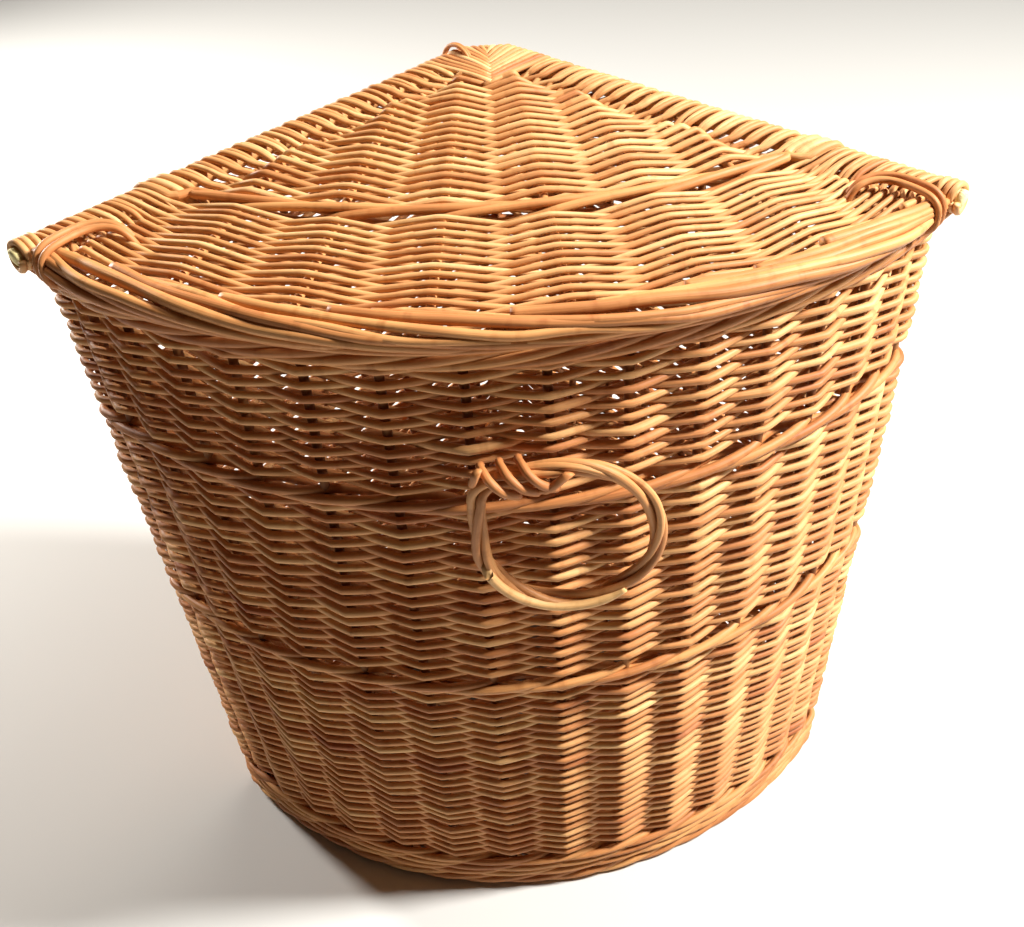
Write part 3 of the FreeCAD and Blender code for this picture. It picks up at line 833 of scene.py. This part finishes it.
def ring_route():
    """The ring's middle line: a straight run along the pivot, three quarters of a circle and a corner."""
    half = RING_STRAIGHT / 2
    points = [(run, 0.0) for run in np.linspace(8.0 - half, half, 6)[:-1]]
    for angle in np.linspace(90, -180, 56):
        points.append((half + RING_R * math.cos(math.radians(angle)),
                       -RING_R + RING_R * math.sin(math.radians(angle))))
    left, lean = half - RING_R, 8.0
    for share in np.linspace(0, 1, 8)[1:-1]:
        points.append((left + lean * share ** 1.5, -RING_R + (RING_R - RING_CORNER_R) * share))
    for angle in np.linspace(180, 90, 10):
        points.append((left + lean + RING_CORNER_R + RING_CORNER_R * math.cos(math.radians(angle)),
                       -RING_CORNER_R + RING_CORNER_R * math.sin(math.radians(angle))))
    return points


def ring_span(route, tangent, keep, side, out):
    """Points beside the ring's middle line, over the part of it to keep."""
    run = route[:, 0] - tangent[:, 1] * side
    rise = route[:, 1] + tangent[:, 0] * side
    out = np.broadcast_to(out, run.shape)
    return np.array([handle_place(a, b, c) for a, b, c in zip(run, rise, out)])[keep]


def build_handle():
    """Rods wound loosely round each other into a ring, and the turns that it hangs from."""
    ring = Rods()
    route = np.array(ring_route())
    route = np.concatenate([route, route[1:4]])
    along = np.concatenate([[0], np.cumsum(np.linalg.norm(np.diff(route, axis=0), axis=1))])
    at = np.linspace(0, along[-1], 150)
    route = np.stack([np.interp(at, along, route[:, 0]), np.interp(at, along, route[:, 1])], axis=-1)
    tangent = np.gradient(route, axis=0)
    tangent /= np.linalg.norm(tangent, axis=1)[:, None]
    total = at[-1]
    # each one's start and end as shares of the ring, its turns, first angle and radius
    strands = ((0.0, 1.0, 2.6, 0.3, 3.1), (0.0, 1.0, 2.6, 2.4, 2.8), (0.0, 0.94, 2.6, 4.5, 2.9),
               (0.62, 1.0, 1.7, 1.0, 2.6), (0.0, 0.34, 2.2, 5.6, 2.5))
    for begin, end, turns, first, strand_r in strands:
        keep = (at >= begin * total) & (at <= end * total)
        twist = first + 2 * math.pi * turns * at / total
        bundle = BUNDLE_R + wobble(at, 40.0, 0.5)
        path = ring_span(route, tangent, keep, np.cos(twist) * bundle, np.sin(twist) * bundle)
        ring.add(path, varied(strand_r, 0.03), new_tone(), new_start(), (0, 1, 0.01))
    # one rod ends on the lower left of the ring, cut on a slant
    keep = (at >= total * 0.47) & (at <= total * 0.745)
    path = ring_span(route, tangent, keep, 0.6, 6.2)
    taper = np.interp(np.linspace(0, 1, len(path)), [0, 0.15, 1], [1.8, 3.2, 3.6])
    ring.add(path, taper, 0.9, 300.0, (0, 1, 0.01), slant=1.6)
    dress(ring.make("handle_ring_strands", ROD), "handle", "willow_rod", "handle_ring")
    bind = Rods()
    for run in (-14.0, -2.0, 10.0):
        # out of the weave, up over the ring, down its front and back into the weave
        shape = [(-8, 3, -13), (-8, 7.6, -7), (-6, 8.3, -1), (-3, 5.5, 6.8), (2, -1, 10.3), (8, -8, 8.6),
                 (12, -12.5, 4.5)]
        points = rounded([handle_place(run + shift, rise, out) for shift, rise, out in shape], 3)
        bind.add(points, np.linspace(2.7, 3.1, len(points)), new_tone(), new_start(), (1, 0, 0.1))
    # its two cut ends
    for shape in (((-27, -8, -9), (-29, -2, -2), (-27, 5, 5), (-22, 14, 6)),
                  ((9, -11, 3), (16, -10, 8.6), (24, -4, 10), (32, 0.5, 9))):
        points = rounded([handle_place(*place) for place in shape], 3)
        bind.add(points, 2.8, new_tone(), new_start(), (1, 0, 0.1), slant=0.8)
    dress(bind.make("handle_binding_turns", BINDING), "basket", "willow_binding", "handle_binding")


# ---------------------------------------------------------------- willow

BUMP_HEIGHT = 0.0006     # metres


def willow(name, pale, mid, dark, roughness, bump):
    """Buff willow: a colour per rod, streaks along the grain, darker nodes and blotches, satin skin."""
    material = bpy.data.materials.new(name)
    material.use_nodes = True
    tree = material.node_tree
    tree.nodes.clear()

    def node(kind, **values):
        made = tree.nodes.new(kind)
        for key, value in values.items():
            setattr(made, key, value)
        return made

    def link(source, target):
        tree.links.new(source, target)

    def noise(scale, stretch, detail):
        """Noise over the grain, whose x runs along the rod; scales are per millimetre."""
        place = node("ShaderNodeMapping")
        place.inputs["Scale"].default_value = stretch
        link(grain.outputs["Vector"], place.inputs["Vector"])
        made = node("ShaderNodeTexNoise")
        made.inputs["Scale"].default_value = scale
        made.inputs["Detail"].default_value = detail
        link(place.outputs["Vector"], made.inputs["Vector"])
        return made.outputs["Fac"]

    def ramp(source, stops):
        made = node("ShaderNodeValToRGB")
        band = made.color_ramp
        while len(band.elements) < len(stops):
            band.elements.new(0.5)
        for element, (place, colour) in zip(band.elements, stops):
            element.position = place
            element.color = (*colour, 1.0)
        link(source, made.inputs["Fac"])
        return made.outputs["Color"]

    def multiplied(under, over, factor):
        made = node("ShaderNodeMix", data_type="RGBA", blend_type="MULTIPLY")
        made.inputs["Factor"].default_value = factor
        # a mix node's sockets 6 and 7 and its output 2 are its colours
        link(under, made.inputs[6])
        link(over, made.inputs[7])
        return made.outputs[2]

    def maths(kind, a, b):
        made = node("ShaderNodeMath", operation=kind)
        for socket, value in zip(made.inputs, (a, b)):
            if isinstance(value, float):
                socket.default_value = value
            else:
                link(value, socket)
        return made.outputs["Value"]

    grain = node("ShaderNodeAttribute", attribute_name="grain")
    tone = node("ShaderNodeAttribute", attribute_name="tone")
    long_change = noise(0.012, (1, 0.2, 0.2), 2.0)
    streaks = noise(0.9, (0.03, 1, 1), 4.0)
    blotches = noise(0.09, (1, 0.5, 0.5), 3.0)
    nodes_on_rod = noise(0.05, (1, 0.02, 0.02), 0.0)

    mixed = maths("MULTIPLY", maths("SUBTRACT", long_change, 0.5), 0.9)
    mixed = maths("ADD", mixed, tone.outputs["Fac"])
    mixed = maths("ADD", mixed, maths("MULTIPLY", maths("SUBTRACT", streaks, 0.5), 0.5))
    colour = ramp(mixed, [(0.0, dark), (0.5, mid), (1.0, pale)])

    blotch = ramp(blotches, [(0.55, (1, 1, 1)), (0.72, (0.78, 0.66, 0.55))])
    spotted = multiplied(colour, blotch, 0.8)
    ring = ramp(nodes_on_rod, [(0.70, (1, 1, 1)), (0.735, (0.55, 0.4, 0.3)), (0.77, (1, 1, 1))])
    ringed = multiplied(spotted, ring, 0.3)

    shader = node("ShaderNodeBsdfPrincipled")
    link(ringed, shader.inputs["Base Color"])
    rough = maths("ADD", maths("MULTIPLY", streaks, 0.35), roughness)
    link(rough, shader.inputs["Roughness"])
    shader.inputs["Specular IOR Level"].default_value = 0.35
    lumps = node("ShaderNodeBump")
    lumps.inputs["Strength"].default_value = bump
    lumps.inputs["Distance"].default_value = BUMP_HEIGHT
    link(maths("ADD", streaks, maths("MULTIPLY", blotches, 0.8)), lumps.inputs["Height"])
    link(lumps.outputs["Normal"], shader.inputs["Normal"])
    output = node("ShaderNodeOutputMaterial")
    link(shader.outputs["BSDF"], output.inputs["Surface"])
    return material


# Each skin's pale, middle and dark colour, roughness and bump strength
WEAVER = willow("willow_weaver_skin",
                (0.79, 0.48, 0.205), (0.58, 0.25, 0.085), (0.36, 0.10, 0.030), 0.38, 0.5)
# The lid's weaver skin is a paler, yellower copy of the weaver skin: painted light on the lid's top, which
# faces the lamps.
LID_WEAVER_PAINTED_LIGHT = willow("willow_lid_weaver_painted_light_skin",
                    (0.82, 0.54, 0.255), (0.61, 0.295, 0.108), (0.38, 0.12, 0.036), 0.38, 0.5)
# The stake skin is about half as bright as the weaver skin: painted shade in the gaps between the weavers,
# where the uprights show.
STAKE_PAINTED_SHADE = willow("willow_stake_painted_shade_skin",
               (0.42, 0.20, 0.07), (0.28, 0.11, 0.034), (0.16, 0.055, 0.018), 0.5, 0.5)
WALE = willow("willow_wale_skin",
              (0.73, 0.385, 0.14), (0.54, 0.218, 0.07), (0.32, 0.10, 0.027), 0.36, 0.5)
ROD = willow("willow_rod_skin",
             (0.74, 0.44, 0.18), (0.58, 0.26, 0.09), (0.36, 0.12, 0.035), 0.36, 0.6)
BINDING = willow("willow_binding_skin",
                 (0.64, 0.30, 0.11), (0.50, 0.19, 0.06), (0.32, 0.10, 0.03), 0.36, 0.5)
CUT = willow("willow_cut_wood",
             (0.80, 0.70, 0.36), (0.68, 0.55, 0.24), (0.46, 0.34, 0.13), 0.6, 0.9)


# ---------------------------------------------------------------- studio

def build_studio():
    """A pale floor, a warm dim surround, and three lamps with the key on the right; all in metres."""
    mesh = bpy.data.meshes.new("studio_floor")
    far = 6.0
    mesh.from_pydata([(-far, -far, 0), (far, -far, 0), (far, far, 0), (-far, far, 0)], [], [(0, 1, 2, 3)])
    floor = bpy.data.objects.new("studio_floor", mesh)
    bpy.context.scene.collection.objects.link(floor)
    pale = bpy.data.materials.new("pale_floor")
    pale.use_nodes = True
    skin = pale.node_tree.nodes["Principled BSDF"]
    skin.inputs["Base Color"].default_value = (0.62, 0.615, 0.61, 1)
    skin.inputs["Roughness"].default_value = 0.8
    mesh.materials.append(pale)

    world = bpy.data.worlds.new("studio")
    bpy.context.scene.world = world
    world.use_nodes = True
    surround = world.node_tree.nodes["Background"]
    surround.inputs["Color"].default_value = (1.0, 0.66, 0.42, 1)
    surround.inputs["Strength"].default_value = 0.045

    def lamp(name, place, aim, size, watts, colour):
        light = bpy.data.lights.new(name, "AREA")
        light.shape = "DISK"
        light.size = size
        light.energy = watts
        light.color = colour
        stand = bpy.data.objects.new(name, light)
        stand.location = place
        stand.rotation_mode = "QUATERNION"
        stand.rotation_quaternion = (Vector(aim) - Vector(place)).to_track_quat("-Z", "Y")
        bpy.context.scene.collection.objects.link(stand)

    lamp("key_right", (1.98, -0.25, 2.2), (0.05, 0.0, 0.35), 0.4, 188, (1.0, 0.99, 0.93))
    lamp("fill_left", (-1.75, 1.45, 0.95), (0.0, 0.0, 0.3), 0.35, 74, (1.0, 0.97, 0.90))
    lamp("overhead", (0.1, 0.7, 2.6), (0.0, 0.0, 0.3), 1.2, 20, (1.0, 0.90, 0.78))
    bpy.context.scene.view_settings.view_transform = "Standard"


def build_camera():
    """Looks down on the front from above it; yaw, pitch and roll are in radians, and the place in mm."""
    yaw, pitch, roll = 0.0485, 0.6511, -0.0379
    behind_corner, height, aside = -1023.0, 989.2, 3.7
    data = bpy.data.cameras.new("camera")
    camera = bpy.data.objects.new("camera", data)
    bpy.context.scene.collection.objects.link(camera)
    data.sensor_width = 36.0
    data.lens = 42.52
    data.shift_x = -0.047
    data.shift_y = -0.062
    ahead = Vector((math.sin(yaw) * math.cos(pitch), math.cos(yaw) * math.cos(pitch), -math.sin(pitch)))
    right = Vector((math.cos(yaw), -math.sin(yaw), 0.0))
    up = right.cross(ahead)
    turned = right * math.cos(roll) + up * math.sin(roll)
    upright = up * math.cos(roll) - right * math.sin(roll)
    place = Vector((aside, CORNER_Y + behind_corner, height)) * MM
    turn = Matrix((turned, upright, -ahead)).transposed()
    camera.matrix_world = Matrix.Translation(place) @ turn.to_4x4()
    bpy.context.scene.camera = camera


weave_walls("lower", BOTTOM_WALE[1], LOWER_WALE[0], pitch=5.0, radius=2.6)
weave_walls("middle", LOWER_WALE[1], UPPER_WALE[0], pitch=5.6, radius=2.9)
weave_walls("upper", UPPER_WALE[1], TOP_BORDER[0], pitch=5.2, radius=2.75)
build_bands()
build_uprights()
build_base()
build_lid_weave()
build_lid_border()
build_lid_rods()
build_loops()
build_tie()
build_handle()
build_studio()
build_camera()
